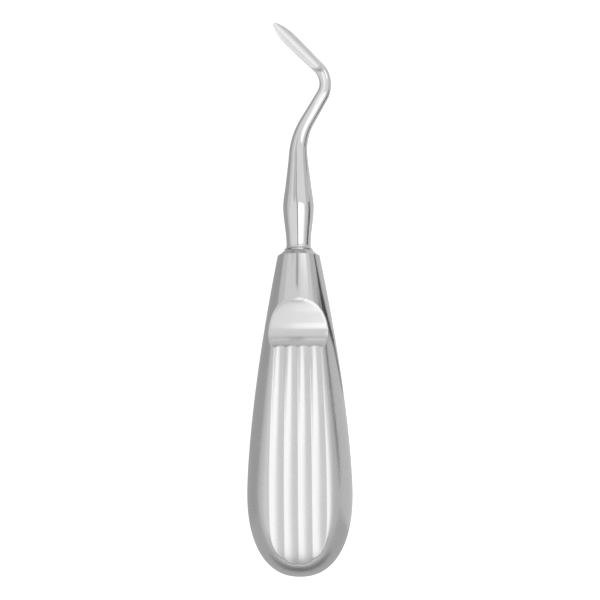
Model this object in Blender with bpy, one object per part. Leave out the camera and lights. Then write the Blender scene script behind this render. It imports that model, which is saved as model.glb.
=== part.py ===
"""A dental root elevator: a turned steel handle with a thumb rest and finger flutes, and a bent working end in its neck.

Both pieces are modelled upright on the tool's own Z axis, with the butt of the handle at 0 and the front towards -Y.
The whole tool is then laid on its back, as it comes to rest, with the working end towards +Y. Sizes are in metres.
"""

import math

import bmesh
import bpy
import numpy as np
from mathutils import Matrix, Vector

# Handle: a pear turned from one bar
HANDLE_LENGTH = 0.08225
BELLY_RADIUS = 0.01327
BUTT_LENGTH = 0.0211
BUTT_FULLNESS = 2.30
TAPER_POWER = 1.52
NECK_RADIUS = 0.0053
SHOULDER_HEIGHT = 0.0013
SEAT_RADIUS = 0.00375

# Thumb rest: a round hollow milled straight across the front of the handle
THUMB_BELOW_TOP = 0.0194
THUMB_RADIUS = 0.0083
THUMB_DEPTH = 0.0038

# Finger flutes: shallow grooves side by side in a panel that follows the front line
FLUTE_COUNT = 4
PANEL_DEPTH = 0.0021
PANEL_SINK = 0.0009
FLUTE_DEPTH = 0.0005
RUN_OUT_RADIUS = 0.058

# Rounded edges of the panel, from the outer ridges over to the round sides
PANEL_EDGE_RADIUS = 0.0053
PANEL_EDGE_START = math.radians(10)
PANEL_EDGE_END = math.radians(34)
PANEL_EDGE_REACH = 0.003

# Socket in the neck, and the tang that it holds
TANG_RADIUS = 0.0024
TANG_LENGTH = 0.0160
TANG_CHAMFER = 0.0004
FIT_GAP = 0.0003
DRILL_POINT = 0.0014

# Working end: girth of the shank, at distances along its centre line from the seat
FOOT_RADIUS = 0.00367
FLARE_HEIGHT = 0.0012
WAIST_RADIUS = 0.00306
BULGE_DISTANCE = 0.0108
BULGE_RADIUS = 0.00387
SHANK_DISTANCE = 0.0165
SHANK_RADIUS = 0.0032
BEND_RADIUS = 0.00236
LINK_RADIUS = 0.00181
KNEE_START_RADIUS = 0.00168
KNEE_RADIUS = 0.00148
HEEL_RADIUS = 0.0015

# Working end: its centre line, straight runs joined by two bends in one plane
SHANK_LENGTH = 0.02395
OUTWARD_BEND = math.radians(30.3)
OUTWARD_BEND_RADIUS = 0.0170
LINK_LENGTH = 0.00745
BLADE_ANGLE = math.radians(44.5)
KNEE_BEND_RADIUS = 0.0061
BLADE_LENGTH = 0.01614

# Blade: a pointed gouge, hollow in front and round behind
BLADE_HALF_WIDTH = 0.00167
WIDEST_FROM_TIP = 0.0080
BLADE_BACK = 0.0011
TROUGH_DEPTH = 0.0004
TROUGH_LENGTH = 0.0152
TROUGH_RUN_OUT = 0.0022
POINT_LENGTH = 0.0055
POINT_FULLNESS = 1.62

# Fineness of the surfaces
TURNED_STEPS = 40
BORE_STEPS = 28
BUTT_RINGS = 9
TAPER_RINGS = 11
PANEL_RINGS = 26
FLUTE_STEPS = 6
PANEL_EDGE_STEPS = 3
SHANK_STEPS = 28
RING_SPACING = 0.0015
POINT_RINGS = 8

# Working allowances: how far cutters run past what they cut, and how the resting angle is searched
CUT_MARGIN = 0.002
MERGE_DISTANCE = 1e-7
STEEPEST_REST = math.radians(15)
REST_TRIALS = 600


def clear_scene():
    """Removes whatever the scene holds."""
    for item in list(bpy.data.objects):
        bpy.data.objects.remove(item, do_unlink=True)


def steel(name, colour, roughness):
    """A bare steel finish."""
    material = bpy.data.materials.new(name)
    material.use_nodes = True
    shader = material.node_tree.nodes["Principled BSDF"]
    shader.inputs["Base Color"].default_value = (*colour, 1.0)
    shader.inputs["Metallic"].default_value = 1.0
    shader.inputs["Roughness"].default_value = roughness
    return material


def add_piece(name, shape):
    """Makes an object of a finished bmesh, with its faces pointing out."""
    bmesh.ops.recalc_face_normals(shape, faces=shape.faces)
    mesh = bpy.data.meshes.new(name)
    shape.to_mesh(mesh)
    shape.free()
    mesh.shade_smooth()
    mesh.set_sharp_from_angle(angle=math.radians(30))
    piece = bpy.data.objects.new(name, mesh)
    bpy.context.scene.collection.objects.link(piece)
    return piece


def turned(name, outline, steps):
    """A body turned about Z from an outline of (radius, height) points that starts and ends on the axis."""
    shape = bmesh.new()
    start = Matrix.Rotation(math.pi / steps, 3, "Z")
    points = [shape.verts.new(start @ Vector((radius, 0.0, height))) for radius, height in outline]
    edges = [shape.edges.new(pair) for pair in zip(points, points[1:])]
    bmesh.ops.spin(
        shape,
        geom=points + edges,
        cent=(0.0, 0.0, 0.0),
        axis=(0.0, 0.0, 1.0),
        angle=math.tau,
        steps=steps,
        use_merge=True,
    )
    bmesh.ops.remove_doubles(shape, verts=shape.verts, dist=MERGE_DISTANCE)
    return add_piece(name, shape)


def lofted(name, rings):
    """A body drawn through closed rings of points, each with as many points as the next, and capped at both ends."""
    shape = bmesh.new()
    loops = [[shape.verts.new(point) for point in ring] for ring in rings]
    for lower, upper in zip(loops, loops[1:]):
        for here in range(len(lower)):
            after = (here + 1) % len(lower)
            shape.faces.new((lower[here], lower[after], upper[after], upper[here]))
    shape.faces.new(loops[0])
    shape.faces.new(loops[-1])
    return add_piece(name, shape)


def cut(piece, cutter):
    """Takes the cutter's shape out of the piece and keeps the cutter as a guide."""
    cutter.parent = piece
    cutter.hide_render = True
    cutter.display_type = "WIRE"
    boolean = piece.modifiers.new(cutter.name, "BOOLEAN")
    boolean.operation = "DIFFERENCE"
    boolean.solver = "EXACT"
    boolean.object = cutter


def superellipse(share, fullness):
    """Height of a quarter superellipse over the share of its width: 1 at its middle and 0 at its end."""
    return max(0.0, 1.0 - share**fullness) ** (1.0 / fullness)


def spread(start, end, count):
    """Evenly spaced values from start to end, both included, in this many steps."""
    return [start + (end - start) * index / count for index in range(count + 1)]


def smooth_through(knots, at):
    """A smooth curve through (distance, value) knots, level at its ends and wherever the values turn round."""
    slopes = [(b[1] - a[1]) / (b[0] - a[0]) for a, b in zip(knots, knots[1:])]
    tangents = [0.0]
    for before, after in zip(slopes, slopes[1:]):
        tangents.append(2 * before * after / (before + after) if before * after > 0 else 0.0)
    tangents.append(0.0)
    at = min(max(at, knots[0][0]), knots[-1][0])
    span = max(index for index in range(len(slopes)) if knots[index][0] <= at)
    (x0, y0), (x1, y1) = knots[span], knots[span + 1]
    width = x1 - x0
    t = (at - x0) / width
    rise = y0 * (2 * t**3 - 3 * t**2 + 1) + y1 * (3 * t**2 - 2 * t**3)
    return rise + width * (tangents[span] * (t**3 - 2 * t**2 + t) + tangents[span + 1] * (t**3 - t**2))


def handle_radius(station):
    """Radius of the turned handle this far from the butt, below the shoulder."""
    if station < BUTT_LENGTH:
        return BELLY_RADIUS * superellipse(1.0 - station / BUTT_LENGTH, BUTT_FULLNESS)
    share = (station - BUTT_LENGTH) / (HANDLE_LENGTH - SHOULDER_HEIGHT - BUTT_LENGTH)
    return BELLY_RADIUS - (BELLY_RADIUS - NECK_RADIUS) * share**TAPER_POWER


def handle_outline():
    """Outline of the pear from the middle of its butt to the middle of its top."""
    neck = HANDLE_LENGTH - SHOULDER_HEIGHT
    turns = spread(0.0, math.pi / 2, BUTT_RINGS)
    stations = [BUTT_LENGTH * (1.0 - math.cos(turn)) for turn in turns]
    stations += spread(BUTT_LENGTH, neck, TAPER_RINGS)[1:]
    outline = [(handle_radius(station), station) for station in stations]
    for turn in spread(0.0, math.pi / 2, 3)[1:]:
        radius = SEAT_RADIUS + (NECK_RADIUS - SEAT_RADIUS) * math.cos(turn)
        outline.append((radius, neck + SHOULDER_HEIGHT * math.sin(turn)))
    return outline + [(0.0, HANDLE_LENGTH)]


def thumb_station():
    """Distance of the middle of the thumb rest from the butt."""
    return HANDLE_LENGTH - THUMB_BELOW_TOP


def thumb_cutter():
    """The round cutter that is drawn across the front to make the thumb rest."""
    shape = bmesh.new()
    bmesh.ops.create_cone(
        shape,
        cap_ends=True,
        segments=TURNED_STEPS,
        radius1=THUMB_RADIUS,
        radius2=THUMB_RADIUS,
        depth=2 * (BELLY_RADIUS + CUT_MARGIN),
        matrix=Matrix.Rotation(math.pi / 2, 4, "Y"),
    )
    cutter = add_piece("thumb_cutter", shape)
    floor = handle_radius(thumb_station()) - THUMB_DEPTH
    cutter.location = (0.0, -(floor + THUMB_RADIUS), thumb_station())
    return cutter


def ridge_height(station):
    """How far the ridges between the flutes stand in front of the axis: the panel sinks in towards the belly."""
    share = (thumb_station() - max(station, BUTT_LENGTH)) / (thumb_station() - BUTT_LENGTH)
    sink = PANEL_SINK * share**2 * (3 - 2 * share)
    height = handle_radius(max(station, BUTT_LENGTH)) - PANEL_DEPTH - sink
    return height - max(0.0, BUTT_LENGTH - station) ** 2 / (2 * RUN_OUT_RADIUS)


def flute_width(station):
    """Width of one flute: together they fill the chord that the panel's depth cuts from the round handle."""
    radius = handle_radius(max(station, BUTT_LENGTH))
    return 2 * math.sqrt(radius**2 - (radius - PANEL_DEPTH) ** 2) / FLUTE_COUNT


def panel_edge(width, height):
    """Rounded edge beside the outer ridge, which stands at this half width and height, and on past the round side."""
    middle = width - PANEL_EDGE_RADIUS * math.sin(PANEL_EDGE_START)
    base = height - PANEL_EDGE_RADIUS * math.cos(PANEL_EDGE_START)
    turns = spread(PANEL_EDGE_START, PANEL_EDGE_END, PANEL_EDGE_STEPS)[1:]
    edge = [(middle + PANEL_EDGE_RADIUS * math.sin(turn), base + PANEL_EDGE_RADIUS * math.cos(turn)) for turn in turns]
    across, up = edge[-1]
    run_on = (across + PANEL_EDGE_REACH * math.cos(PANEL_EDGE_END), up - PANEL_EDGE_REACH * math.sin(PANEL_EDGE_END))
    return edge + [run_on]


def flute_ring(station):
    """Section of the panel's cutter at a station: round flutes with ridges between them, rounded edges, a flat roof."""
    width = flute_width(station)
    half = width / 2
    flute_radius = (half**2 + FLUTE_DEPTH**2) / (2 * FLUTE_DEPTH)
    reach = math.asin(half / flute_radius)
    centre_height = ridge_height(station) - FLUTE_DEPTH + flute_radius
    profile = []
    for flute in range(FLUTE_COUNT):
        middle = (flute - (FLUTE_COUNT - 1) / 2) * width
        turns = spread(-reach, reach, FLUTE_STEPS)
        if flute > 0:
            turns = turns[1:]
        for turn in turns:
            profile.append((middle + flute_radius * math.sin(turn), centre_height - flute_radius * math.cos(turn)))
    edge = panel_edge(FLUTE_COUNT * half, ridge_height(station))
    profile = [(-across, up) for across, up in reversed(edge)] + profile + edge
    roof = BELLY_RADIUS + CUT_MARGIN
    profile += [(profile[-1][0], roof), (profile[0][0], roof)]
    return [Vector((across, -up, station)) for across, up in profile]


def flute_cutter():
    """The scalloped cutter for all the flutes, from below the butt's curve up into the hollow of the thumb rest."""
    top = thumb_station() - THUMB_RADIUS / 4
    stations = spread(-CUT_MARGIN, top, PANEL_RINGS)
    return lofted("flute_cutter", [flute_ring(station) for station in stations])


def socket_cutter():
    """The drilled hole in the neck, a fit gap wider and deeper than the tang."""
    radius = TANG_RADIUS + FIT_GAP
    floor = HANDLE_LENGTH - TANG_LENGTH
    outline = [
        (0.0, floor - DRILL_POINT),
        (radius, floor),
        (radius, HANDLE_LENGTH + CUT_MARGIN),
        (0.0, HANDLE_LENGTH + CUT_MARGIN),
    ]
    return turned("socket_cutter", outline, BORE_STEPS)


def make_handle():
    """The turned pear with its thumb rest, flutes and socket."""
    handle = turned("handle", handle_outline(), TURNED_STEPS)
    cut(handle, thumb_cutter())
    cut(handle, flute_cutter())
    cut(handle, socket_cutter())
    return handle


def working_legs():
    """The centre line's legs from the seat, each a length and the angle that it turns to the right."""
    knee = OUTWARD_BEND + BLADE_ANGLE
    return (
        (SHANK_LENGTH, 0.0),
        (OUTWARD_BEND * OUTWARD_BEND_RADIUS, OUTWARD_BEND),
        (LINK_LENGTH, 0.0),
        (knee * KNEE_BEND_RADIUS, -knee),
        (BLADE_LENGTH, 0.0),
    )


def working_line(distance):
    """Point and heading on the centre line this far from the seat. The tang runs straight back from the seat."""
    point = Vector((0.0, 0.0, min(distance, 0.0)))
    heading = 0.0
    left = max(distance, 0.0)
    for length, turn in working_legs():
        run = min(left, length)
        swing = turn * run / length
        chord = run * (math.sin(swing / 2) / (swing / 2) if swing else 1.0)
        point += chord * Vector((math.sin(heading + swing / 2), 0.0, math.cos(heading + swing / 2)))
        heading += swing
        left -= run
    return point, heading


def leg_ends():
    """Distances from the seat at which the legs of the centre line end."""
    return [float(end) for end in np.cumsum([length for length, turn in working_legs()])]


def shank_radius(distance):
    """Radius of the shank this far from the seat, from the waist above its foot to the blade."""
    bend, link, knee, blade, tip = leg_ends()
    knots = (
        (FLARE_HEIGHT, WAIST_RADIUS),
        (BULGE_DISTANCE, BULGE_RADIUS),
        (SHANK_DISTANCE, SHANK_RADIUS),
        (bend, BEND_RADIUS),
        (link, LINK_RADIUS),
        (knee, KNEE_START_RADIUS),
        ((knee + blade) / 2, KNEE_RADIUS),
        (blade, HEEL_RADIUS),
        (tip - WIDEST_FROM_TIP, BLADE_HALF_WIDTH),
    )
    return smooth_through(knots, distance)


def foot_radius(distance):
    """Radius of the hollow flare with which the shank spreads onto the top of the handle."""
    share = 1.0 - distance / FLARE_HEIGHT
    return WAIST_RADIUS + (FOOT_RADIUS - WAIST_RADIUS) * (1.0 - superellipse(share, 2.0))


def section(distance, half_width, front, back):
    """Ring across the centre line. Front and back give the height of each side over the share of the half width."""
    point, heading = working_line(distance)
    right = Vector((math.cos(heading), 0.0, -math.sin(heading)))
    ring = []
    for index in range(SHANK_STEPS):
        turn = math.tau * (index + 0.5) / SHANK_STEPS
        share = math.cos(turn)
        height = front(share) if math.sin(turn) > 0 else -back(share)
        ring.append(point + right * (half_width * share) + Vector((0.0, -height, 0.0)))
    return ring


def round_section(distance, radius):
    """A round ring across the centre line."""
    return section(
        distance,
        radius,
        lambda share: radius * superellipse(abs(share), 2.0),
        lambda share: radius * superellipse(abs(share), 2.0),
    )


def blade_section(distance):
    """Ring across the knee or the blade: the front sinks from round to a hollow, and all sides close in at the point."""
    knee, blade, tip = leg_ends()[2:]
    closing = superellipse(max(0.0, 1.0 - (tip - distance) / POINT_LENGTH), POINT_FULLNESS)
    thinning = smooth_through(((knee, 0.0), (tip, 1.0)), distance)
    radius = shank_radius(distance) * closing
    back_height = radius + (BLADE_BACK * closing - radius) * thinning
    trough_start = tip - TROUGH_LENGTH
    sinking = smooth_through(((trough_start - TROUGH_RUN_OUT, 0.0), (trough_start, 1.0)), distance)
    front_height = radius * (1.0 - 0.5 * smooth_through(((knee, 0.0), (trough_start, 1.0)), distance))

    def front(share):
        full = front_height * superellipse(abs(share), 2.0)
        hollow = -TROUGH_DEPTH * closing * (1.0 - share**2)
        return full + (hollow - full) * sinking

    return section(distance, radius, front, lambda share: back_height * superellipse(abs(share), 2.0))


def make_working_end():
    """Tang, foot, bulged shank, both bends and the blade, forged in one."""
    bend, link, knee, blade, tip = leg_ends()
    shank_rings = math.ceil((knee - FLARE_HEIGHT) / RING_SPACING)
    knee_rings = math.ceil((tip - POINT_LENGTH - knee) / (RING_SPACING / 2))
    rings = [
        round_section(-TANG_LENGTH, TANG_RADIUS - TANG_CHAMFER),
        round_section(-TANG_LENGTH + TANG_CHAMFER, TANG_RADIUS),
        round_section(0.0, TANG_RADIUS),
    ]
    rings += [round_section(d, foot_radius(d)) for d in spread(0.0, FLARE_HEIGHT, 5)[:-1]]
    rings += [round_section(d, shank_radius(d)) for d in spread(FLARE_HEIGHT, knee, shank_rings)[:-1]]
    rings += [blade_section(d) for d in spread(knee, tip - POINT_LENGTH, knee_rings)]
    for turn in spread(0.0, math.pi / 2, POINT_RINGS)[1:-1]:
        rings.append(blade_section(tip - POINT_LENGTH * (1.0 - math.sin(turn))))
    working_end = lofted("working_end", rings)
    working_end.location.z = HANDLE_LENGTH + FIT_GAP
    return working_end


def surface_of(piece):
    """Corners and triangles of a piece as its modifiers leave it, where it stands."""
    mesh = piece.evaluated_get(bpy.context.evaluated_depsgraph_get()).to_mesh()
    mesh.calc_loop_triangles()
    place = piece.matrix_world
    corners = np.array([place @ vertex.co for vertex in mesh.vertices])
    triangles = np.array([triangle.vertices for triangle in mesh.loop_triangles])
    return corners, triangles


def lay_on_back(holder, pieces):
    """Lays the upright tool on its back at the angle that brings its centre of mass lowest, and sets it on Z = 0."""
    bpy.context.view_layer.update()
    surfaces = [surface_of(piece) for piece in pieces]
    volume = 0.0
    moment = np.zeros(3)
    for corners, triangles in surfaces:
        a, b, c = (corners[triangles[:, side]] for side in range(3))
        parts = np.einsum("ij,ij->i", a, np.cross(b, c)) / 6
        volume += parts.sum()
        moment += (parts[:, None] * (a + b + c) / 4).sum(axis=0)
    middle = moment / volume
    every_corner = np.vstack([corners for corners, triangles in surfaces])

    def height_of_middle(tilt):
        up = np.array((0.0, -math.cos(tilt), -math.sin(tilt)))
        return middle @ up - (every_corner @ up).min()

    tilt = min(spread(0.0, STEEPEST_REST, REST_TRIALS), key=height_of_middle)
    holder.rotation_euler.x = -(math.pi / 2 + tilt)
    laid = every_corner @ np.array(holder.rotation_euler.to_matrix()).T
    low, high = laid.min(axis=0), laid.max(axis=0)
    holder.location = (-(low[0] + high[0]) / 2, -(low[1] + high[1]) / 2, -low[2])


def main():
    clear_scene()
    handle = make_handle()
    working_end = make_working_end()
    handle.data.materials.append(steel("satin_steel", (0.60, 0.60, 0.60), 0.36))
    working_end.data.materials.append(steel("polished_steel", (0.66, 0.66, 0.66), 0.14))
    holder = bpy.data.objects.new("tool_at_rest", None)
    bpy.context.scene.collection.objects.link(holder)
    for piece in (handle, working_end):
        piece.parent = holder
    lay_on_back(holder, (handle, working_end))


main()
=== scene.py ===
"""Looks of a dental root elevator: a satin pear handle with flutes, and a polished, bent working end.

Both pieces are shaped upright on the tool's own Z axis, with the butt of the handle at 0 and the
front towards -Y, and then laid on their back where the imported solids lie. Sizes are in metres.
"""

import math

import bpy
import numpy as np
from bpy.props import FloatProperty, FloatVectorProperty, IntProperty, PointerProperty
from mathutils import Matrix, Vector


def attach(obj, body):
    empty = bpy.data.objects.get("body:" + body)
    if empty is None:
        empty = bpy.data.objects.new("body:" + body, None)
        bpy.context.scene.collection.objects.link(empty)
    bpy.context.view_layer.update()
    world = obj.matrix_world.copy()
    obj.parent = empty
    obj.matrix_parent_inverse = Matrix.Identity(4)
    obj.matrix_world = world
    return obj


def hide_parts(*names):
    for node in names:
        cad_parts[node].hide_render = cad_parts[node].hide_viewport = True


bl_info = {
    "name": "Dental Root Elevator",
    "version": (1, 0, 0),
    "blender": (4, 5, 0),
    "location": "3D View > Sidebar > Elevator",
    "description": "Builds a fluted elevator handle, its working end and a small photo stage",
    "category": "Object",
}

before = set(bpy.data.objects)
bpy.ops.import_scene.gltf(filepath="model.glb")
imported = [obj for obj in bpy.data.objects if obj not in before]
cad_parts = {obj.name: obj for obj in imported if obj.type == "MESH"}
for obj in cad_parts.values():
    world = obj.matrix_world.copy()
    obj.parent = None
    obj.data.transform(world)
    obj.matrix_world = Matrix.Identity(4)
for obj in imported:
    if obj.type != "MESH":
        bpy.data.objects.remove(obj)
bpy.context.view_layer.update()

# Fineness of the handle's blank
FLUTE_SEGMENTS = 24
SIDE_SEGMENTS = 66
SIDE_GRADING = 0.8
BUTT_ROWS = 90
BORE_ROWS = 12
# Stretches of the handle: how far from the butt each ends, and the spacing of its rows
ROW_SPACING = (
    (0.0530, 0.0006),
    (0.0590, 0.00012),
    (0.0695, 0.0003),
    (0.0725, 0.00012),
    (0.08095, 0.0004),
)
SHOULDER_ROWS = 9

# Stands in for the bore's radius in rows on the handle's skin
ON_SKIN = -1.0
# Chamfer of the socket's mouth, as a share of the shoulder's height
SOCKET_LIP = 0.1
# The panel's cutters stop this share of the thumb rest's radius below its middle
PANEL_STOP = 0.25

# Fineness of the working end
RING_SEGMENTS = 96
SHANK_ROW = 0.00035
KNEE_ROW = 0.0002
BLADE_ROW = 0.00015
FOOT_ROWS = 14
POINT_ROWS = 44
PATH_POINTS = 700

# Share of the shank's radius by which the forging is flattened in front, under the trough
FRONT_FLATTENING = 0.5

# A radius that no ray from the axis can reach, for where a cutter misses
FAR = 1.0
# The least cosine at which a ray from the axis still faces a cutter
FACING = 0.001
# Edges sharper than this stay crisp in the shading
SHARP_ANGLE = math.radians(40)

# The blade's corners carry this mask, 1 in the trough and 0 elsewhere
TROUGH_MASK = "trough"

# Distance of the studio's walls, and heights of its level cards
WALL_DISTANCE = 1.4
SKY_HEIGHT = 0.5
# Heights of the painted shade that stands for the floor in the steel's reflections, and of the darker
# strips of painted shade on it
PAINTED_FLOOR_HEIGHT = 0.0003
PAINTED_STRIP_HEIGHT = 0.0006

# Light of the white room, and what the floor and the room add where they are seen directly
ROOM_LIGHT = 0.75
FLOOR_GLOW = 0.6
ROOM_GLOW = 0.22

# The kind of socket for each kind of input
SOCKET_KINDS = {
    float: "NodeSocketFloat",
    bpy.types.Object: "NodeSocketObject",
    bpy.types.Material: "NodeSocketMaterial",
}


def size(label, text, default, low=0.0):
    """A length among the settings."""
    kind = {"subtype": "DISTANCE", "unit": "LENGTH", "precision": 5}
    return FloatProperty(name=label, description=text, default=default, min=low, **kind)


def share(label, text, default):
    """A number from 0 to 1 among the settings."""
    return FloatProperty(name=label, description=text, default=default, min=0.0, max=1.0, precision=3)


def power(label, text, default, low=1.0):
    """The power in a curve's formula."""
    return FloatProperty(name=label, description=text, default=default, min=low, max=10.0, precision=3)


def turn(label, text, degrees):
    """An angle among the settings."""
    kind = {"subtype": "ANGLE", "unit": "ROTATION"}
    return FloatProperty(name=label, description=text, default=math.radians(degrees), **kind)


def colour(label, text, default):
    """A colour among the settings."""
    kind = {"size": 3, "min": 0.0, "max": 1.0, "subtype": "COLOR"}
    return FloatVectorProperty(name=label, description=text, default=default, **kind)


def spot(label, text, default):
    """A place among the settings."""
    kind = {"size": 3, "subtype": "TRANSLATION", "unit": "LENGTH", "precision": 5}
    return FloatVectorProperty(name=label, description=text, default=default, **kind)


def changeable(group):
    """The values of a settings group that a user can change."""
    own = [value for value in group.bl_rna.properties if not value.is_readonly]
    return [value for value in own if value.identifier != "name"]


def add_object(name, data):
    """A new object in the scene."""
    piece = bpy.data.objects.new(name, data)
    bpy.context.scene.collection.objects.link(piece)
    return piece


class HandleSizes(bpy.types.PropertyGroup):
    """Sizes of the pear handle, its thumb rest and its flutes."""

    length: size("Length", "From the butt to the seat of the working end", 0.08225)
    belly_radius: size("Belly radius", "Largest radius of the pear", 0.01322)
    butt_length: size("Butt length", "From the butt to the widest place", 0.0211)
    butt_fullness: power("Butt fullness", "2 is an ellipse, more is squarer", 2.30)
    taper_power: power("Taper power", "How late the pear narrows towards its neck", 1.52)
    neck_radius: size("Neck radius", "Radius just below the shoulder", 0.0053)
    shoulder_height: size("Shoulder height", "Height of the shoulder below the seat", 0.0013)
    shoulder_fullness: power("Shoulder fullness", "1 is a chamfer, 2 is round, less is hollow", 0.9, 0.5)
    seat_radius: size("Seat radius", "Radius of the flat seat on top", 0.00362)
    thumb_below_top: size("Thumb rest below top", "From the seat to the middle of the thumb rest", 0.0194)
    thumb_radius: size("Thumb rest radius", "Radius of the cutter that makes the hollow", 0.0083)
    thumb_depth: size("Thumb rest depth", "Depth of the hollow below the front line", 0.0038)
    thumb_crown: size("Thumb rest crown", "Radius of the slight crown across the hollow", 0.16)
    flute_count: IntProperty(
        name="Flutes", description="Number of flutes side by side", default=4, min=1, max=9
    )
    panel_depth: size("Panel depth", "Depth of the ridges below the front at the thumb rest", 0.0021)
    panel_sink: size("Panel sink", "How much deeper the ridges lie at the belly", 0.0009)
    flute_depth: size("Flute depth", "Depth of a flute below its ridges", 0.0005)
    flute_fading: size("Flute fading", "How much shallower the flutes are at the belly", 0.00016)
    run_out_radius: size("Run-out radius", "Radius of the curve on which the flutes leave the butt", 0.058)
    panel_edge_radius: size("Panel edge radius", "Radius of the edges beside the outer ridges", 0.0053)
    panel_edge_start: turn("Panel edge start", "Slope at which a rounded edge leaves its ridge", 10.0)
    panel_edge_end: turn("Panel edge end", "Slope at which a rounded edge runs on straight", 34.0)
    edge_softness: size("Edge softness", "Width over which cut edges are rounded", 0.00022)
    side_softness: size("Side softness", "Width over which the panel melts into the sides", 0.0012)
    socket_radius: size("Socket radius", "Radius of the drilled socket", 0.0027)
    socket_depth: size("Socket depth", "Depth of the drilled socket", 0.0160)
    drill_point: size("Drill point", "Height of the cone that the drill leaves", 0.0014)


class WorkingEndSizes(bpy.types.PropertyGroup):
    """Sizes of the shank, its bends and the blade."""

    fit_gap: size("Fit gap", "Gap between the working end and the handle", 0.0003)
    tang_radius: size("Tang radius", "Radius of the tang", 0.0024)
    tang_length: size("Tang length", "Length of the tang inside the handle", 0.0160)
    tang_chamfer: size("Tang chamfer", "Chamfer on the end of the tang", 0.0004)
    foot_radius: size("Foot radius", "Radius of the flared foot", 0.00367)
    flare_height: size("Flare height", "Height of the flared foot", 0.0012)
    waist_radius: size("Waist radius", "Radius above the foot", 0.00306)
    bulge_distance: size("Bulge distance", "From the seat to the widest place of the shank", 0.0108)
    bulge_radius: size("Bulge radius", "Largest radius of the shank", 0.00387)
    shank_distance: size("Shank distance", "From the seat to where the bulge has run out", 0.0165)
    shank_radius: size("Shank radius", "Radius where the bulge has run out", 0.0032)
    bend_radius: size("Radius at the bend", "Radius of the shank where it starts to bend", 0.00236)
    link_radius: size("Radius of the link", "Radius where the first bend ends", 0.00181)
    knee_start_radius: size("Radius before the knee", "Radius where the second bend starts", 0.00168)
    knee_radius: size("Radius of the knee", "Radius in the middle of the second bend", 0.00148)
    heel_radius: size("Radius of the heel", "Radius where the blade starts", 0.0015)
    shank_length: size("Shank length", "Straight run from the seat to the first bend", 0.02395)
    outward_bend: turn("Outward bend", "Angle of the first bend", 30.3)
    outward_bend_radius: size("Outward bend radius", "Radius of the first bend", 0.0170)
    link_length: size("Link length", "Straight run between the bends", 0.00745)
    blade_angle: turn("Blade angle", "Angle between the blade and the handle's axis", 44.5)
    knee_bend_radius: size("Knee bend radius", "Radius of the second bend", 0.0061)
    blade_length: size("Blade length", "Straight run from the second bend to the tip", 0.01614)
    blade_half_width: size("Blade half width", "Half of the blade's width where it is widest", 0.00167)
    widest_from_tip: size("Widest from the tip", "From the tip to where the blade is widest", 0.0080)
    blade_back: size("Blade back", "Height of the blade's round back", 0.0011)
    trough_depth: size("Trough depth", "Depth of the hollow in the blade's front", 0.0004)
    trough_length: size("Trough length", "Length of the hollow from the tip", 0.0152)
    trough_run_out: size("Trough run-out", "Length over which the hollow rises to the knee", 0.0022)
    trough_bow: size("Trough bow", "How much further up the knee the hollow reaches in its middle", 0.0012)
    point_length: size("Point length", "Length over which the blade closes in", 0.0055)
    point_fullness: power("Point fullness", "How full the point is, 2 is an ellipse", 1.62)


class SteelFinish(bpy.types.PropertyGroup):
    """Colours and finishes of the two pieces."""

    satin_colour: colour("Satin steel", "Colour of the handle", (0.60, 0.60, 0.60))
    satin_roughness: share("Satin roughness", "Roughness of the handle's belly", 0.25)
    neck_roughness: share("Neck roughness", "Roughness of the handle's neck", 0.15)
    satin_contrast: share("Satin contrast", "How much marks change the handle's roughness", 0.14)
    satin_tint: share("Satin tint", "How much the handle's colour varies", 0.07)
    polished_colour: colour("Polished steel", "Colour of the working end", (0.66, 0.66, 0.66))
    polished_roughness: share("Polished roughness", "Roughness of the working end", 0.06)
    trough_roughness: share("Trough roughness", "Roughness of the hollow in the blade", 0.26)
    polished_contrast: share("Polished contrast", "How much marks change the roughness", 0.06)
    polished_tint: share("Polished tint", "How much the working end's colour varies", 0.05)
    grain_spacing: size("Grain spacing", "Distance between the fine lines", 0.00022)
    grain_length: size("Grain length", "Length of one such line", 0.009)
    grain_contrast: share("Grain contrast", "How much grain changes the handle's roughness", 0.07)
    streak_contrast: share("Streak contrast", "How much streaks change the polish", 0.05)
    scratch_contrast: share("Scratch contrast", "How much scratches roughen the handle", 0.05)


class StageSettings(bpy.types.PropertyGroup):
    """Where the tool lies, the camera and the light."""

    resting_angle: turn("Resting angle", "How far the nose points down at rest", 6.3)
    resting_place: spot("Resting place", "Where the butt's middle lies", (0.0, -0.0697846, 0.0161598))
    floor_colour: colour("Floor", "Colour of the floor", (0.86, 0.86, 0.86))
    lens: FloatProperty(name="Lens", description="Focal length in millimetres", default=500.0, min=20.0)
    view_width: size("View width", "Width of the view at the tool", 0.15035)
    camera_pitch: turn("Camera pitch", "How far the camera leans over from the butt's side", 1.2)
    camera_side: turn("Camera side", "How far the camera stands to the right", 2.8)
    camera_roll: turn("Camera roll", "How far the camera is turned in its own plane", 0.609)
    aim: spot("Aim", "Where the camera aims", (0.000483, -0.000547, 0.0129))


def join(outlet, inlet):
    """Joins two sockets of one node tree. A field stands for its own socket."""
    inlet.id_data.links.new(getattr(outlet, "socket", outlet), inlet)


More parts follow.
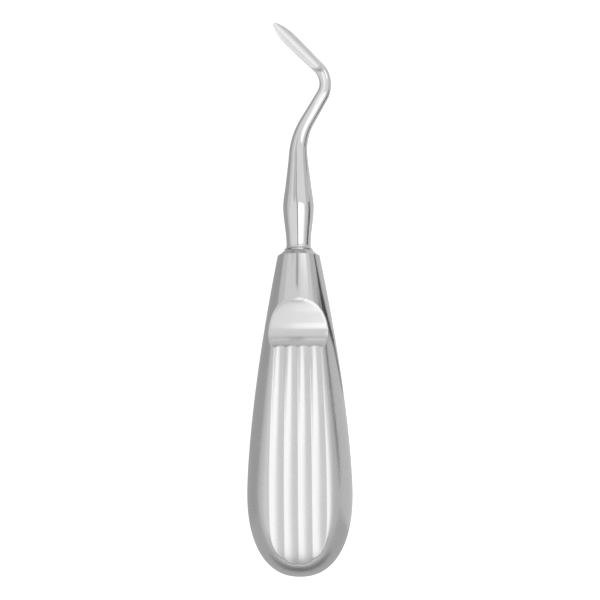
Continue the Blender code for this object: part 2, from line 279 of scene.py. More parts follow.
class Field:
    """A number in a node tree, so that the rules of a shape or a finish read as plain formulas."""

    def __init__(self, tree, socket):
        self.tree = tree
        self.socket = socket

    def math(self, operation, *others):
        node = self.tree.nodes.new("ShaderNodeMath")
        node.operation = operation
        for inlet, value in zip(node.inputs, (self, *others)):
            if isinstance(value, Field):
                join(value, inlet)
            else:
                inlet.default_value = value
        return Field(self.tree, node.outputs[0])

    def constant(self, value):
        """A plain number as a field of the same tree."""
        node = self.tree.nodes.new("ShaderNodeValue")
        node.outputs[0].default_value = value
        return Field(self.tree, node.outputs[0])

    def __add__(self, other):
        return self.math("ADD", other)

    def __sub__(self, other):
        return self.math("SUBTRACT", other)

    def __rsub__(self, other):
        return self.math("MULTIPLY", -1.0).math("ADD", other)

    def __mul__(self, other):
        return self.math("MULTIPLY", other)

    def __truediv__(self, other):
        return self.math("DIVIDE", other)

    def __rtruediv__(self, other):
        return self.constant(other).math("DIVIDE", self)

    def __pow__(self, other):
        return self.math("POWER", other)

    def __neg__(self):
        return self.math("MULTIPLY", -1.0)

    __rmul__ = __mul__

    def root(self):
        return self.math("MAXIMUM", 0.0).math("SQRT")

    def at_least(self, other):
        return self.math("MAXIMUM", other)

    def at_most(self, other):
        return self.math("MINIMUM", other)

    def melt(self, other, width):
        """The lesser of the two, with the seam between them rounded over a width."""
        return self.math("SMOOTH_MIN", other, width)

    def over(self, other):
        """1 where this is more than the other, and 0 elsewhere."""
        return self.math("GREATER_THAN", other)

    def choose(self, yes, no):
        """The first where this is 1 and the second where it is 0."""
        return self * yes + (1.0 - self) * no

    def quarter(self, fullness):
        """Height of a quarter superellipse over this share of its width."""
        return (1.0 - self**fullness).at_least(0.0) ** (1.0 / fullness)

    def ease(self, start, end):
        """Rises smoothly from 0 to 1 while this goes from start to end."""
        step = ((self - start) / (end - start)).at_least(0.0).at_most(1.0)
        return step * step * (3.0 - 2.0 * step)


def geometry_tree(name, inputs):
    """A new geometry tree with a mesh input and the named inputs, and a function that reads them."""
    tree = bpy.data.node_groups.new(name, "GeometryNodeTree")
    tree.interface.new_socket("Blank", in_out="INPUT", socket_type="NodeSocketGeometry")
    for label, value in inputs.items():
        kind = SOCKET_KINDS[type(value)]
        item = tree.interface.new_socket(label, in_out="INPUT", socket_type=kind)
        if isinstance(value, float):
            item.default_value = value
    tree.interface.new_socket("Shape", in_out="OUTPUT", socket_type="NodeSocketGeometry")
    inlet = tree.nodes.new("NodeGroupInput")

    def given(label):
        return Field(tree, inlet.outputs[label])

    return tree, inlet, given


def stored(tree, name):
    """A number that is stored on the blank's corners."""
    node = tree.nodes.new("GeometryNodeInputNamedAttribute")
    node.data_type = "FLOAT"
    node.inputs["Name"].default_value = name
    return Field(tree, node.outputs[0])


def as_vector(tree, x, y, z):
    """Three fields as one vector socket."""
    node = tree.nodes.new("ShaderNodeCombineXYZ")
    for inlet, value in zip(node.inputs, (x, y, z)):
        join(value, inlet)
    return node.outputs[0]


def close_tree(tree, inlet, position, mask=None):
    """Moves the blank's corners, stores the mask for the material, realizes and gives the steel."""
    move = tree.nodes.new("GeometryNodeSetPosition")
    realize = tree.nodes.new("GeometryNodeRealizeInstances")
    finish = tree.nodes.new("GeometryNodeSetMaterial")
    outlet = tree.nodes.new("NodeGroupOutput")
    join(inlet.outputs["Blank"], move.inputs["Geometry"])
    join(position, move.inputs["Position"])
    moved = move.outputs["Geometry"]
    if mask:
        store = tree.nodes.new("GeometryNodeStoreNamedAttribute")
        store.data_type = "FLOAT"
        store.domain = "POINT"
        store.inputs["Name"].default_value = TROUGH_MASK
        join(moved, store.inputs["Geometry"])
        join(mask, store.inputs["Value"])
        moved = store.outputs["Geometry"]
    join(moved, realize.inputs["Geometry"])
    join(realize.outputs["Geometry"], finish.inputs["Geometry"])
    join(inlet.outputs["Steel"], finish.inputs["Material"])
    join(finish.outputs["Geometry"], outlet.inputs["Shape"])


def ring_blank(name, rows, columns):
    """A closed blank of rings between two poles, with numbers on its corners for a tree to shape.

    Each row is a dict of numbers for a whole ring, and columns is a list of numbers round the ring.
    The first and last rows are single points.
    """
    count = len(columns)
    inner = rows[1:-1]
    total = count * len(inner)
    first, last = total, total + 1
    faces = [(first, (c + 1) % count, c) for c in range(count)]
    for row in range(len(inner) - 1):
        low = row * count
        high = low + count
        for c in range(count):
            after = (c + 1) % count
            faces.append((low + c, low + after, high + after, high + c))
    top = total - count
    faces += [(last, top + c, top + (c + 1) % count) for c in range(count)]
    mesh = bpy.data.meshes.new(name)
    mesh.from_pydata([(0.0, 0.0, 0.0)] * (total + 2), [], faces)
    for mark in rows[0]:
        values = np.repeat([row[mark] for row in inner], count)
        values = np.append(values, (rows[0][mark], rows[-1][mark]))
        layer = mesh.attributes.new(mark, "FLOAT", "POINT")
        layer.data.foreach_set("value", values.astype(np.float32))
    around = np.append(np.tile(columns, len(inner)), (0.0, 0.0))
    layer = mesh.attributes.new("around", "FLOAT", "POINT")
    layer.data.foreach_set("value", around.astype(np.float32))
    return add_object(name, mesh)


def shaped(piece, tree, inputs, place):
    """Runs the tree on the blank and leaves one plain mesh, laid where the tool rests."""
    modifier = piece.modifiers.new("shape", "NODES")
    modifier.node_group = tree
    for item in tree.interface.items_tree:
        if item.in_out == "INPUT" and item.name in inputs:
            modifier[item.identifier] = inputs[item.name]
    graph = bpy.context.evaluated_depsgraph_get()
    mesh = bpy.data.meshes.new_from_object(piece.evaluated_get(graph), depsgraph=graph)
    piece.modifiers.remove(modifier)
    blank = piece.data
    piece.data = mesh
    bpy.data.meshes.remove(blank)
    mesh.name = piece.name
    mesh.transform(place)
    mesh.shade_smooth()
    mesh.set_sharp_from_angle(angle=SHARP_ANGLE)
    return piece


def resting_matrix(stage):
    """Lays the upright tool on its back."""
    lay = Matrix.Rotation(-(math.pi / 2 + stage.resting_angle), 4, "X")
    return Matrix.Translation(Vector(stage.resting_place)) @ lay


def spread(start, end, count):
    """Evenly spaced values from start to end, both included, in this many steps."""
    return [start + (end - start) * index / count for index in range(count + 1)]


def handle_rows(sizes):
    """Rows of the handle's blank, from the butt over the pear and the seat into the socket."""
    stations = [sizes.butt_length * (1.0 - math.cos(t)) for t in spread(0.0, math.pi / 2, BUTT_ROWS)][1:]
    for end, step in ROW_SPACING:
        start = stations[-1]
        stations += spread(start, end, max(1, round((end - start) / step)))[1:]
    neck = sizes.length - sizes.shoulder_height
    stations[-1] = neck
    turns = spread(0.0, math.pi / 2, SHOULDER_ROWS)[1:]
    stations += [neck + sizes.shoulder_height * math.sin(t) for t in turns]
    rows = [{"station": 0.0, "bore": 0.0}]
    rows += [{"station": station, "bore": ON_SKIN} for station in stations]
    floor = sizes.length - sizes.socket_depth
    lip = SOCKET_LIP * sizes.shoulder_height
    bored = spread(sizes.length - lip, floor, BORE_ROWS)
    rows.append({"station": sizes.length, "bore": sizes.socket_radius + lip})
    rows += [{"station": station, "bore": sizes.socket_radius} for station in bored]
    rows.append({"station": floor - sizes.drill_point, "bore": 0.0})
    return rows


def handle_columns(sizes):
    """Columns of the handle's blank: -1 to 1 across the flutes, and on to 2 at the middle of the back."""
    flutes = spread(-1.0, 1.0, sizes.flute_count * FLUTE_SEGMENTS)
    steps = spread(0.0, 1.0, SIDE_SEGMENTS)[1:]
    side = [1.0 + (1.0 - SIDE_GRADING) * t + SIDE_GRADING * t * t for t in steps]
    return flutes + side[:-1] + [2.0] + [-value for value in reversed(side[:-1])]


def handle_tree(inputs):
    """The handle's rule: in each direction from its axis the nearest of pear, thumb rest and flutes."""
    tree, inlet, given = geometry_tree("fluted_pear_handle", inputs)
    station = stored(tree, "station")
    column = stored(tree, "around")
    bore = stored(tree, "bore")
    belly = given("Belly radius")
    butt = given("Butt length")
    neck_radius = given("Neck radius")
    softness = given("Edge softness")
    neck = given("Length") - given("Shoulder height")

    def tapered(at):
        """Radius of the pear from its belly to its neck."""
        up = ((at - butt) / (neck - butt)).at_least(0.0).at_most(1.0)
        return belly - (belly - neck_radius) * up ** given("Taper power")

    # Radius of the turned pear
    down_butt = (1.0 - station / butt).at_least(0.0)
    round_butt = belly * down_butt.quarter(given("Butt fullness"))
    up_shoulder = ((station - neck) / given("Shoulder height")).at_least(0.0).at_most(1.0)
    narrowing = up_shoulder.quarter(given("Shoulder fullness"))
    shoulder = given("Seat radius") + (neck_radius - given("Seat radius")) * narrowing
    pear = station.over(neck).choose(shoulder, station.over(butt).choose(tapered(station), round_butt))

    # Line of the ridges, and the direction of each column
    above_butt = station.at_least(butt)
    panel_radius = tapered(above_butt)
    level = panel_radius - given("Panel depth")
    thumb_station = given("Length") - given("Thumb rest below top")
    to_belly = above_butt.ease(thumb_station, butt)
    drop = (butt - station).at_least(0.0)
    ridge = level - given("Panel sink") * to_belly - drop * drop / (2.0 * given("Run-out radius"))
    half_panel = (panel_radius * panel_radius - level * level).root()
    within = column.at_least(-1.0).at_most(1.0)
    edge = half_panel.math("ARCTAN2", ridge)
    direction = (within * half_panel).math("ARCTAN2", ridge)
    beyond = column - within
    turned = direction + beyond * (math.pi - edge)
    across = turned.math("SINE")
    forward = turned.math("COSINE")

    # Flutes: each is one round groove, and a direction meets its own and both neighbours
    count = given("Flutes")
    half_flute = half_panel / count
    depth = given("Flute depth") - given("Flute fading") * to_belly
    groove = (half_flute * half_flute + depth * depth) / (2.0 * depth)
    centre_height = ridge - depth + groove
    last = count - 1.0
    own = ((within + 1.0) * 0.5 * count).math("FLOOR").at_least(0.0).at_most(last)

    def flute(index):
        index = index.at_least(0.0).at_most(last)
        middle = (2.0 * index - last) * half_flute
        along = across * middle + forward * centre_height
        inside = groove * groove - middle * middle - centre_height * centre_height + along * along
        hit = inside.over(0.0) * along.over(0.0)
        return hit.choose(along - inside.root(), FAR)

    fluted = flute(own - 1.0).melt(flute(own), softness).melt(flute(own + 1.0), softness)

    # Rounded edges of the panel: straight by the outer ridge, then round, then straight again
    edge_radius = given("Panel edge radius")
    edge_start = given("Panel edge start")
    edge_end = given("Panel edge end")
    aside = across.math("ABSOLUTE")
    middle = half_panel - edge_radius * edge_start.math("SINE")
    base = ridge - edge_radius * edge_start.math("COSINE")

    def straight(slope):
        sine, cosine = slope.math("SINE"), slope.math("COSINE")
        facing = aside * sine + forward * cosine
        distance = (middle * sine + base * cosine + edge_radius) / facing.at_least(FACING)
        return facing.over(FACING).choose(distance.at_most(FAR), FAR)

    along = aside * middle + forward * base
    rounded = along + (edge_radius * edge_radius - middle * middle - base * base + along * along).root()
    swing = turned.math("ABSOLUTE")
    round_side = middle + edge_radius * edge_end.math("SINE")
    round_end = round_side.math("ARCTAN2", base + edge_radius * edge_end.math("COSINE"))
    outside = swing.over(round_end).choose(straight(edge_end), rounded)
    edge_line = swing.over(edge).choose(outside, straight(edge_start))
    thumb_radius = given("Thumb rest radius")
    above_panel = station.over(thumb_station - thumb_radius * PANEL_STOP)
    fluted = above_panel.choose(FAR, fluted)
    edge_line = above_panel.choose(FAR, edge_line)

    # Thumb rest: a round cutter drawn across on a slight curve, so that the hollow is a saddle
    cutter_height = tapered(thumb_station) - given("Thumb rest depth") + thumb_radius
    off = station - thumb_station
    reach = thumb_radius * thumb_radius - off * off
    floor = cutter_height - reach.root()
    inner = forward * forward + 2.0 * floor * across * across / given("Thumb rest crown")
    scooped = 2.0 * floor / (forward + inner.root()).at_least(FACING)
    hit = reach.over(0.0) * forward.over(FACING)
    scooped = hit.choose(scooped.at_most(FAR), FAR)

    carved = pear.melt(edge_line, given("Side softness")).melt(fluted, softness).melt(scooped, softness)
    radius = bore.over(ON_SKIN / 2).choose(bore, carved)
    close_tree(tree, inlet, as_vector(tree, radius * across, -(radius * forward), station))
    return tree


def make_handle(sizes, stage, steel):
    """The turned pear with its thumb rest, flutes and socket, as one closed mesh."""
    inputs = {value.name: float(getattr(sizes, value.identifier)) for value in changeable(sizes)}
    inputs["Steel"] = steel
    blank = ring_blank("satin_handle", handle_rows(sizes), handle_columns(sizes))
    return shaped(blank, handle_tree(inputs), inputs, resting_matrix(stage))


def working_legs(sizes):
    """The centre line's legs from the seat, each a length and the angle that it turns to the right."""
    knee = sizes.outward_bend + sizes.blade_angle
    return (
        (sizes.shank_length, 0.0),
        (sizes.outward_bend * sizes.outward_bend_radius, sizes.outward_bend),
        (sizes.link_length, 0.0),
        (knee * sizes.knee_bend_radius, -knee),
        (sizes.blade_length, 0.0),
    )


def leg_ends(sizes):
    """Distances from the seat at which the legs of the centre line end."""
    return [float(end) for end in np.cumsum([leg[0] for leg in working_legs(sizes)])]


def working_point(sizes, distance):
    """Point on the centre line this far from the seat. The tang runs straight back from the seat."""
    point = Vector((0.0, 0.0, min(distance, 0.0)))
    heading = 0.0
    left = max(distance, 0.0)
    for length, angle in working_legs(sizes):
        run = min(left, length)
        swing = angle * run / length
        chord = run * (math.sin(swing / 2) / (swing / 2) if swing else 1.0)
        point += chord * Vector((math.sin(heading + swing / 2), 0.0, math.cos(heading + swing / 2)))
        heading += swing
        left -= run
    return point


def superellipse(part, fullness):
    """Height of a quarter superellipse over this part of its width."""
    return max(0.0, 1.0 - part**fullness) ** (1.0 / fullness)


def smooth_through(knots, at):
    """A smooth curve through (distance, value) knots, level at its ends and where the values turn."""
    slopes = [(b[1] - a[1]) / (b[0] - a[0]) for a, b in zip(knots, knots[1:])]
    tangents = [0.0]
    for before, after in zip(slopes, slopes[1:]):
        tangents.append(2 * before * after / (before + after) if before * after > 0 else 0.0)
    tangents.append(0.0)
    at = min(max(at, knots[0][0]), knots[-1][0])
    span = max(index for index in range(len(slopes)) if knots[index][0] <= at)
    (x0, y0), (x1, y1) = knots[span], knots[span + 1]
    width = x1 - x0
    t = (at - x0) / width
    rise = y0 * (2 * t**3 - 3 * t**2 + 1) + y1 * (3 * t**2 - 2 * t**3)
    return rise + width * (tangents[span] * (t**3 - 2 * t**2 + t) + tangents[span + 1] * (t**3 - t**2))


def shank_radius(sizes, distance):
    """Radius of the shank this far from the seat, from the waist above its foot to the blade."""
    bend, link, knee, blade, tip = leg_ends(sizes)
    knots = (
        (sizes.flare_height, sizes.waist_radius),
        (sizes.bulge_distance, sizes.bulge_radius),
        (sizes.shank_distance, sizes.shank_radius),
        (bend, sizes.bend_radius),
        (link, sizes.link_radius),
        (knee, sizes.knee_start_radius),
        ((knee + blade) / 2, sizes.knee_radius),
        (blade, sizes.heel_radius),
        (tip - sizes.widest_from_tip, sizes.blade_half_width),
    )
    return smooth_through(knots, distance)


def forged_row(sizes, distance):
    """Half width and heights of the ring at a distance from the seat, over shank, knee and blade."""
    knee, _, tip = leg_ends(sizes)[2:]
    closing = superellipse(max(0.0, 1.0 - (tip - distance) / sizes.point_length), sizes.point_fullness)
    thinning = smooth_through(((knee, 0.0), (tip, 1.0)), distance)
    radius = shank_radius(sizes, distance) * closing
    trough_start = tip - sizes.trough_length
    lowering = smooth_through(((knee, 0.0), (trough_start, 1.0)), distance)
    return {
        "along": distance,
        "half_width": radius,
        "front": radius * (1.0 - FRONT_FLATTENING * lowering),
        "back": radius + (sizes.blade_back * closing - radius) * thinning,
        "hollow": sizes.trough_depth * closing,
    }


def round_row(distance, radius):
    """A round ring of the tang or the foot."""
    return {"along": distance, "half_width": radius, "front": radius, "back": radius, "hollow": 0.0}


def working_rows(sizes):
    """Rings of the forging, from the end of the tang to the tip of the blade."""
    knee, blade, tip = leg_ends(sizes)[2:]
    tang, chamfer = sizes.tang_length, sizes.tang_chamfer
    point = tip - sizes.point_length
    rows = [round_row(-tang, 0.0), round_row(-tang, sizes.tang_radius - chamfer)]
    rows += [round_row(d, sizes.tang_radius) for d in spread(-tang + chamfer, 0.0, BORE_ROWS)]
    for t in spread(0.0, math.pi / 2, FOOT_ROWS):
        flare = sizes.waist_radius + (sizes.foot_radius - sizes.waist_radius) * (1.0 - math.sin(t))
        rows.append(round_row(sizes.flare_height * (1.0 - math.cos(t)), flare))
    stretches = (
        (sizes.flare_height, knee, SHANK_ROW),
        (knee, blade, KNEE_ROW),
        (blade, point, BLADE_ROW),
    )
    for start, end, step in stretches:
        rows += [forged_row(sizes, d) for d in spread(start, end, round((end - start) / step))[1:]]
    turns = spread(0.0, math.pi / 2, POINT_ROWS)[1:]
    rows += [forged_row(sizes, point + sizes.point_length * math.sin(t)) for t in turns]
    return rows


def working_tree(inputs):
    """The rule of the working end's shape: each ring of the forging stands across its centre line."""
    tree, inlet, given = geometry_tree("bent_working_end", inputs)
    path = tree.nodes.new("GeometryNodeObjectInfo")
    path.transform_space = "ORIGINAL"
    join(inlet.outputs["Centre line"], path.inputs["Object"])
    sample = tree.nodes.new("GeometryNodeSampleCurve")
    sample.mode = "LENGTH"
    join(path.outputs["Geometry"], sample.inputs["Curves"])
    along = stored(tree, "along")
    join(along + given("Tang length"), sample.inputs["Length"])

    around = stored(tree, "around")
    half_width = stored(tree, "half_width")
    beside = around.math("COSINE")
    in_front = around.math("SINE").over(0.0)
    arch = (1.0 - beside * beside).root()
    full = stored(tree, "front") * arch
    hollow = -(stored(tree, "hollow") * (1.0 - beside * beside))
    # The cutter that made the hollow ran out on a bow, with half of it on each side of the start
    start = given("Trough start") + given("Trough bow") * (beside * beside - 0.5)
    sunk = along.ease(start - given("Trough run-out"), start)
    front = full + (hollow - full) * sunk
    height = in_front.choose(front, -(stored(tree, "back") * arch))

    place = tree.nodes.new("ShaderNodeSeparateXYZ")
    join(sample.outputs["Position"], place.inputs[0])
    heading = tree.nodes.new("ShaderNodeSeparateXYZ")
    join(sample.outputs["Tangent"], heading.inputs[0])
    aside = half_width * beside
    x = Field(tree, place.outputs["X"]) + aside * Field(tree, heading.outputs["Z"])
    z = Field(tree, place.outputs["Z"]) - aside * Field(tree, heading.outputs["X"])
    trough = in_front * sunk * arch.ease(start=0.1, end=0.4)
    close_tree(tree, inlet, as_vector(tree, x, -height, z), trough)
    return tree


def centre_line(sizes, seat):
    """The forging's centre line as a fine open curve."""
    tip = leg_ends(sizes)[-1]
    curve = bpy.data.curves.new("working_centre_line", "CURVE")
    curve.dimensions = "3D"
    spline = curve.splines.new("POLY")
    spline.points.add(PATH_POINTS)
    for point, distance in zip(spline.points, spread(-sizes.tang_length, tip, PATH_POINTS)):
        place = working_point(sizes, distance)
        point.co = (place.x, place.y, place.z + seat, 1.0)
    return add_object("working_centre_line", curve)


def make_working_end(sizes, handle, stage, steel):
    """Tang, foot, bulged shank, both bends and the blade, as one closed mesh."""
    path = centre_line(sizes, handle.length + sizes.fit_gap)
    inputs = {
        "Centre line": path,
        "Tang length": sizes.tang_length,
        "Trough start": leg_ends(sizes)[-1] - sizes.trough_length,
        "Trough run-out": sizes.trough_run_out,
        "Trough bow": sizes.trough_bow,
        "Steel": steel,
    }
    columns = [-math.tau * index / RING_SEGMENTS for index in range(RING_SEGMENTS)]
    blank = ring_blank("polished_working_end", working_rows(sizes), columns)
    piece = shaped(blank, working_tree(inputs), inputs, resting_matrix(stage))
    bpy.data.objects.remove(path, do_unlink=True)
    return piece


def object_field(tree, axis):
    """One of the piece's own coordinates in a material."""
    place = tree.nodes.new("ShaderNodeTexCoord")
    parts = tree.nodes.new("ShaderNodeSeparateXYZ")
    join(place.outputs["Object"], parts.inputs[0])
    return Field(tree, parts.outputs[axis])


def drawn_noise(tree, lean, across, along, detail=0.0, twist=0.0):
    """Noise from 0 to 1 whose patches are this wide and this long along the tool, turned by the twist."""
    place = tree.nodes.new("ShaderNodeTexCoord")
    mapping = tree.nodes.new("ShaderNodeMapping")
    mapping.vector_type = "TEXTURE"
    mapping.inputs["Rotation"].default_value = (-lean, 0.0, twist)
    mapping.inputs["Scale"].default_value = (across, along, across)
    noise = tree.nodes.new("ShaderNodeTexNoise")
    noise.inputs["Scale"].default_value = 1.0
    noise.inputs["Detail"].default_value = detail
    join(place.outputs["Object"], mapping.inputs["Vector"])
    join(mapping.outputs[0], noise.inputs["Vector"])
    return Field(tree, noise.outputs["Fac"])


def new_material(name):
    """A new material and its node tree."""
    material = bpy.data.materials.new(name)
    material.use_nodes = True
    return material, material.node_tree


def bare_steel(name):
    """A new metal material, its node tree and its shader."""
    material, tree = new_material(name)
    shader = tree.nodes["Principled BSDF"]
    shader.inputs["Metallic"].default_value = 1.0
    return material, tree, shader


def tint_by(tree, shader, tint, amount, spread_share):
    """Lets the steel's colour vary by this share of itself as the amount goes from 0 to 1."""
    mix = tree.nodes.new("ShaderNodeMix")
    mix.data_type = "RGBA"
    mix.inputs["A"].default_value = (*[value * (1.0 - spread_share) for value in tint], 1.0)
    mix.inputs["B"].default_value = (*[value * (1.0 + spread_share) for value in tint], 1.0)
    join(amount, mix.inputs["Factor"])
    join(mix.outputs["Result"], shader.inputs["Base Color"])


def raise_by(tree, shader, height, distance):
    """Gives the surface a fine relief: the height goes from 0 to 1 over the distance."""
    bump = tree.nodes.new("ShaderNodeBump")
    bump.inputs["Distance"].default_value = distance
    bump.inputs["Strength"].default_value = 0.5
    join(height, bump.inputs["Height"])
    join(bump.outputs[0], shader.inputs["Normal"])


def satin_steel(finish, lean):
    """Satin steel: fine grain along the handle, faint scratches and marks, and a finer polished neck."""
    material, tree, shader = bare_steel("satin_steel")
    grain = drawn_noise(tree, lean, finish.grain_spacing, finish.grain_length, detail=2.0)
    marks = drawn_noise(tree, lean, across=0.0045, along=0.011, detail=3.0)
    waves = drawn_noise(tree, lean, across=0.006, along=0.014)
    scratches = drawn_noise(tree, lean, across=0.00012, along=0.006, twist=math.radians(23))
    scratches = scratches.ease(start=0.70, end=0.80)
    neck = object_field(tree, "Y").ease(start=-0.030, end=0.012)
    rough = neck * (finish.neck_roughness - finish.satin_roughness) + finish.satin_roughness
    rough = rough + (grain - 0.5) * finish.grain_contrast + (marks - 0.5) * finish.satin_contrast
    rough = rough + scratches * finish.scratch_contrast
    join(rough, shader.inputs["Roughness"])
    tint_by(tree, shader, finish.satin_colour, grain * 0.4 + marks * 0.6, finish.satin_tint)
    raise_by(tree, shader, grain * 0.02 + waves - scratches * 0.02, distance=0.00006)
    return material


def polished_steel(finish, lean):
    """Bright polish with faint streaks along it, and a ground satin in the blade's trough."""
    material, tree, shader = bare_steel("polished_steel")
    streaks = drawn_noise(tree, lean, finish.grain_spacing, finish.grain_length, detail=2.0)
    marks = drawn_noise(tree, lean, across=0.002, along=0.004, detail=3.0)
    mask = tree.nodes.new("ShaderNodeAttribute")
    mask.attribute_name = TROUGH_MASK
    trough = Field(tree, mask.outputs["Fac"])
    rough = trough * (finish.trough_roughness - finish.polished_roughness) + finish.polished_roughness
    rough = rough + (streaks - 0.5) * finish.streak_contrast + (marks - 0.5) * finish.polished_contrast
    join(rough.at_least(0.02), shader.inputs["Roughness"])
    tint_by(tree, shader, finish.polished_colour, streaks * 0.5 + marks * 0.5, finish.polished_tint)
    relief = streaks * (trough * 0.2 + 0.2) + marks * (1.0 - trough * 0.6)
    raise_by(tree, shader, relief, distance=0.000006)
    return material


def plane(name, corners, material):
    """A flat stage piece through its corners."""
    mesh = bpy.data.meshes.new(name)
    mesh.from_pydata(corners, [], [tuple(range(len(corners)))])
    piece = add_object(name, mesh)
    mesh.materials.append(material)
    return piece


def glow(name, level, fades=()):
    """A light of one level, with fades, each a stretch of X over which it changes and by how much."""
    material, tree = new_material(name)
    nodes = tree.nodes
    nodes.remove(nodes["Principled BSDF"])
    lamp = nodes.new("ShaderNodeEmission")
    lamp.inputs["Color"].default_value = (1.0, 1.0, 1.0, 1.0)
    lamp.inputs["Strength"].default_value = level
    if fades:
        x = object_field(tree, "X")
        strength = sum((x.ease(start, end) * change for start, end, change in fades), x.constant(level))
        join(strength, lamp.inputs["Strength"])
    join(lamp.outputs[0], nodes["Material Output"].inputs["Surface"])
    return material


def card(name, corners, level, fades=()):
    """A studio card that only shows in the steel's reflections."""
    piece = plane(name, corners, glow(name, level, fades))
    for ray in ("camera", "diffuse", "shadow", "transmission", "volume_scatter"):
        setattr(piece, f"visible_{ray}", False)


def seen_directly(tree):
    """1 for camera, glossy and transmission rays, and 0 for the others."""
    rays = tree.nodes.new("ShaderNodeLightPath")
    camera = Field(tree, rays.outputs["Is Camera Ray"])
    glossy = Field(tree, rays.outputs["Is Glossy Ray"])
    through = Field(tree, rays.outputs["Is Transmission Ray"])
    return camera.at_least(glossy).at_least(through)


def make_floor(stage):
    """A white floor that keeps the tool's shadow."""
    material, tree = new_material("white_floor")
    shader = tree.nodes["Principled BSDF"]
    shader.inputs["Base Color"].default_value = (*stage.floor_colour, 1.0)
    shader.inputs["Roughness"].default_value = 0.9
    shader.inputs["Specular IOR Level"].default_value = 0.0
    shader.inputs["Emission Color"].default_value = (1.0, 1.0, 1.0, 1.0)
    join(seen_directly(tree) * FLOOR_GLOW, shader.inputs["Emission Strength"])
    far = 3.0
    plane("floor", [(-far, -far, 0.0), (far, -far, 0.0), (far, far, 0.0), (-far, far, 0.0)], material)


def make_world():
    """A white room: plain light for the floor, white for what is seen directly."""
    world = bpy.data.worlds.new("white_room")
    bpy.context.scene.world = world
    world.use_nodes = True
    tree = world.node_tree
    background = tree.nodes["Background"]
    background.inputs["Color"].default_value = (1.0, 1.0, 1.0, 1.0)
    join(seen_directly(tree) * ROOM_GLOW + ROOM_LIGHT, background.inputs["Strength"])


def outline_card(name, outline, height, level, fades=()):
    """A level card with an outline of its own."""
    card(name, [(*corner, height) for corner in outline], level, fades)


def level_card(name, right, nose, height, level, fades=()):
    """A level oblong card, given by its reach to the right and towards the nose."""
    outline = [(right[0], nose[0]), (right[1], nose[0]), (right[1], nose[1]), (right[0], nose[1])]
    outline_card(name, outline, height, level, fades)


def standing_card(name, start, end, heights, level):
    """An upright card from one place on the floor to another, between two heights."""
    low, high = heights
    card(name, [(*start, low), (*end, low), (*end, high), (*start, high)], level)


def blade_card(name, near, far, level):
    """A strip over the blade and along it, between two distances from it to the nose and the right."""
    across = Vector((1.0, 1.0)).normalized()
    along = Vector((-1.0, 1.0)).normalized()
    middle = Vector((0.003, 0.060))
    heel, beyond_tip = 0.004, 0.032
    ends = ((near, heel), (far, heel), (far, beyond_tip), (near, beyond_tip))
    outline = [middle + across * aside + along * ahead for aside, ahead in ends]
    outline_card(name, outline, height=0.05, level=level)


def make_overhead_cards():
    """A sky that is brightest to the tool's right, with a softbox, small lights and shades below it."""
    everywhere = (-WALL_DISTANCE, WALL_DISTANCE)
    thumb_edge = -0.30
    dimming = (0.33, 0.85, -0.80)
    sky = ((-0.17, 0.17, 0.63), dimming)
    thumb_sky = ((-0.10, 0.03, 0.68), dimming)
    level_card("sky", everywhere, (thumb_edge, 0.21), SKY_HEIGHT, level=0.97, fades=sky)
    behind = (-WALL_DISTANCE, thumb_edge)
    level_card("thumb_sky", everywhere, behind, SKY_HEIGHT, level=0.92, fades=thumb_sky)
    softbox = [(-0.009, 0.012), (0.105, 0.012), (0.105, 0.05), (0.085, 0.075)]
    softbox += [(0.04, 0.075), (0.03, 0.062), (-0.009, 0.062)]
    outline_card("softbox", softbox, height=0.15, level=1.65)
    dark_edge = [(-0.0032, 0.013), (0.0002, 0.013), (-0.0002, 0.029)]
    dark_edge += [(-0.0075, 0.048), (-0.0095, 0.048), (-0.0042, 0.031)]
    outline_card("dark_edge", dark_edge, height=0.03, level=0.45)
    neck = [(0.09, 0.375), (0.50, 0.44), (0.60, 0.60), (0.09, 0.60)]
    neck_fades = ((0.09, 0.25, 0.15), (0.40, 0.60, -0.5))
    outline_card("neck_light", neck, SKY_HEIGHT, level=1.5, fades=neck_fades)
    blade_card("blade_light", near=-0.003, far=0.022, level=1.30)
    blade_card("blade_near_shade", near=-0.034, far=-0.013, level=0.72)
    blade_card("blade_far_shade", near=0.029, far=0.046, level=0.97)
    level_card("butt_shade", (-0.05, 0.05), (-0.11, -0.072), height=0.04, level=0.55)


def make_walls():
    """Grey walls to the left, to the right and beyond the nose."""
    far = WALL_DISTANCE
    standing_card("left_wall", (-far, -far), (-far, far), (0.0, 0.75), level=0.80)
    standing_card("right_wall", (far, -far), (far, far), (0.0, 0.62), level=0.70)
    standing_card("nose_wall", (-far, far), (far, far), (0.0, 1.0), level=0.78)


def make_painted_floor_shade():
    """Painted shade seen only in the steel: grey cards for the white floor, darker to the left than to the
    right, and dark strips beside the tool and a black bar for the dark lines along its right side and
    round its butt.
    """
    far = WALL_DISTANCE
    butt_edge = -0.06
    # Painted shade: the white floor shows grey in the steel, darker to the left than to the right
    level_card("left_table", (-far, 0.0), (butt_edge, far), PAINTED_FLOOR_HEIGHT, level=0.50)
    level_card("right_table", (0.0, far), (butt_edge, far), PAINTED_FLOOR_HEIGHT, level=0.74)
    level_card("butt_table", (-far, far), (-far, butt_edge), PAINTED_FLOOR_HEIGHT, level=0.55)
    # Painted shade: dark strips on the floor beside the tool's right side, its bend and its butt, seen
    # only in the steel
    outer = [(0.084, 0.022), (0.036, 0.003), (0.021, -0.009), (0.0162, -0.024)]
    inner = [(0.0150, -0.022), (0.0170, -0.007), (0.027, 0.008), (0.044, 0.042)]
    outline_card("right_rim", outer + inner, PAINTED_STRIP_HEIGHT, level=0.06)
    level_card("bend_rim", (0.016, 0.030), (0.037, 0.050), PAINTED_STRIP_HEIGHT, level=0.20)
    standing_card("right_bar", (0.15, -0.025), (0.15, 0.06), (0.001, 0.019), level=0.0)
    level_card("butt_rim", (-0.06, 0.07), (-0.17, -0.10), PAINTED_STRIP_HEIGHT, level=0.22)


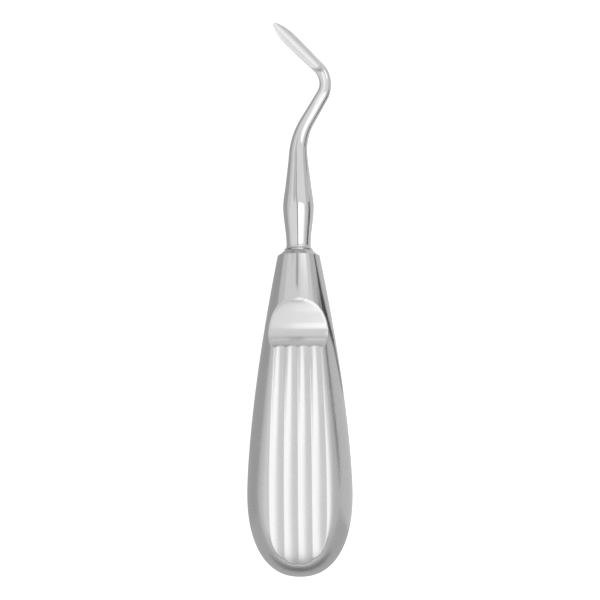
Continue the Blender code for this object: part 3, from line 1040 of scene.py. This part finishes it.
def make_lamp():
    """One large soft lamp, for the shadow on the floor."""
    light = bpy.data.lights.new("key", "AREA")
    light.shape = "RECTANGLE"
    light.size = 0.8
    light.size_y = 0.8
    light.energy = 3.0
    lamp = add_object("key", light)
    lamp.location = (0.25, -0.2, 1.0)
    lamp.rotation_euler = (-lamp.location).to_track_quat("-Z", "Y").to_euler()
    lamp.visible_glossy = False


def make_camera(stage):
    """A long lens straight above the tool, leaning a little to the butt and to the right."""
    data = bpy.data.cameras.new("camera")
    data.sensor_width = 36.0
    data.lens = stage.lens
    data.clip_start = 0.01
    distance = stage.view_width * stage.lens / data.sensor_width
    target = Vector(stage.aim)
    away = Vector((math.tan(stage.camera_side), -math.tan(stage.camera_pitch), 1.0)).normalized()
    up = Vector((0.0, 1.0, 0.0))
    right = up.cross(away).normalized()
    up = away.cross(right)
    facing = Matrix((right, up, away)).transposed()
    facing = facing @ Matrix.Rotation(-stage.camera_roll, 3, "Z")
    camera = add_object("camera", data)
    camera.matrix_world = Matrix.Translation(target + away * distance) @ facing.to_4x4()
    bpy.context.scene.camera = camera


class ELEVATOR_OT_handle(bpy.types.Operator):
    """Make the satin handle from its sizes"""

    bl_idname = "elevator.make_handle"
    bl_label = "Make Handle"
    bl_options = {"REGISTER", "UNDO"}

    def execute(self, context):
        settings = context.scene
        steel = satin_steel(settings.steel_finish, settings.stage_settings.resting_angle)
        piece = make_handle(settings.handle_sizes, settings.stage_settings, steel)
        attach(piece, "root")
        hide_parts("handle")
        return {"FINISHED"}


class ELEVATOR_OT_working_end(bpy.types.Operator):
    """Make the polished working end from its sizes"""

    bl_idname = "elevator.make_working_end"
    bl_label = "Make Working End"
    bl_options = {"REGISTER", "UNDO"}

    def execute(self, context):
        settings = context.scene
        steel = polished_steel(settings.steel_finish, settings.stage_settings.resting_angle)
        sizes, stage = settings.working_end_sizes, settings.stage_settings
        piece = make_working_end(sizes, settings.handle_sizes, stage, steel)
        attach(piece, "root")
        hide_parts("working_end")
        return {"FINISHED"}


class ELEVATOR_OT_stage(bpy.types.Operator):
    """Set up the floor, the room, the cards, the lamp and the camera"""

    bl_idname = "elevator.set_up_stage"
    bl_label = "Set Up Stage"
    bl_options = {"REGISTER", "UNDO"}

    def execute(self, context):
        stage = context.scene.stage_settings
        make_floor(stage)
        make_world()
        make_overhead_cards()
        make_walls()
        make_painted_floor_shade()
        make_lamp()
        make_camera(stage)
        context.scene.view_settings.view_transform = "Standard"
        return {"FINISHED"}


class ELEVATOR_PT_panel(bpy.types.Panel):
    """Sizes, finishes and buttons for the elevator"""

    bl_label = "Root Elevator"
    bl_idname = "ELEVATOR_PT_panel"
    bl_space_type = "VIEW_3D"
    bl_region_type = "UI"
    bl_category = "Elevator"

    def draw(self, context):
        for operator in OPERATORS:
            self.layout.operator(operator.bl_idname)
        for name in SETTINGS:
            box = self.layout.box()
            box.label(text=name.replace("_", " ").capitalize())
            group = getattr(context.scene, name)
            for value in changeable(group):
                box.prop(group, value.identifier)


SETTINGS = {
    "handle_sizes": HandleSizes,
    "working_end_sizes": WorkingEndSizes,
    "steel_finish": SteelFinish,
    "stage_settings": StageSettings,
}
OPERATORS = (ELEVATOR_OT_stage, ELEVATOR_OT_handle, ELEVATOR_OT_working_end)


def register():
    for group in SETTINGS.values():
        bpy.utils.register_class(group)
    for name, group in SETTINGS.items():
        setattr(bpy.types.Scene, name, PointerProperty(type=group))
    for operator in (*OPERATORS, ELEVATOR_PT_panel):
        bpy.utils.register_class(operator)


def unregister():
    for operator in (ELEVATOR_PT_panel, *reversed(OPERATORS)):
        bpy.utils.unregister_class(operator)
    for name, group in reversed(SETTINGS.items()):
        delattr(bpy.types.Scene, name)
        bpy.utils.unregister_class(group)


def main():
    register()
    bpy.ops.elevator.set_up_stage()
    bpy.ops.elevator.make_handle()
    bpy.ops.elevator.make_working_end()


if __name__ == "__main__":
    main()
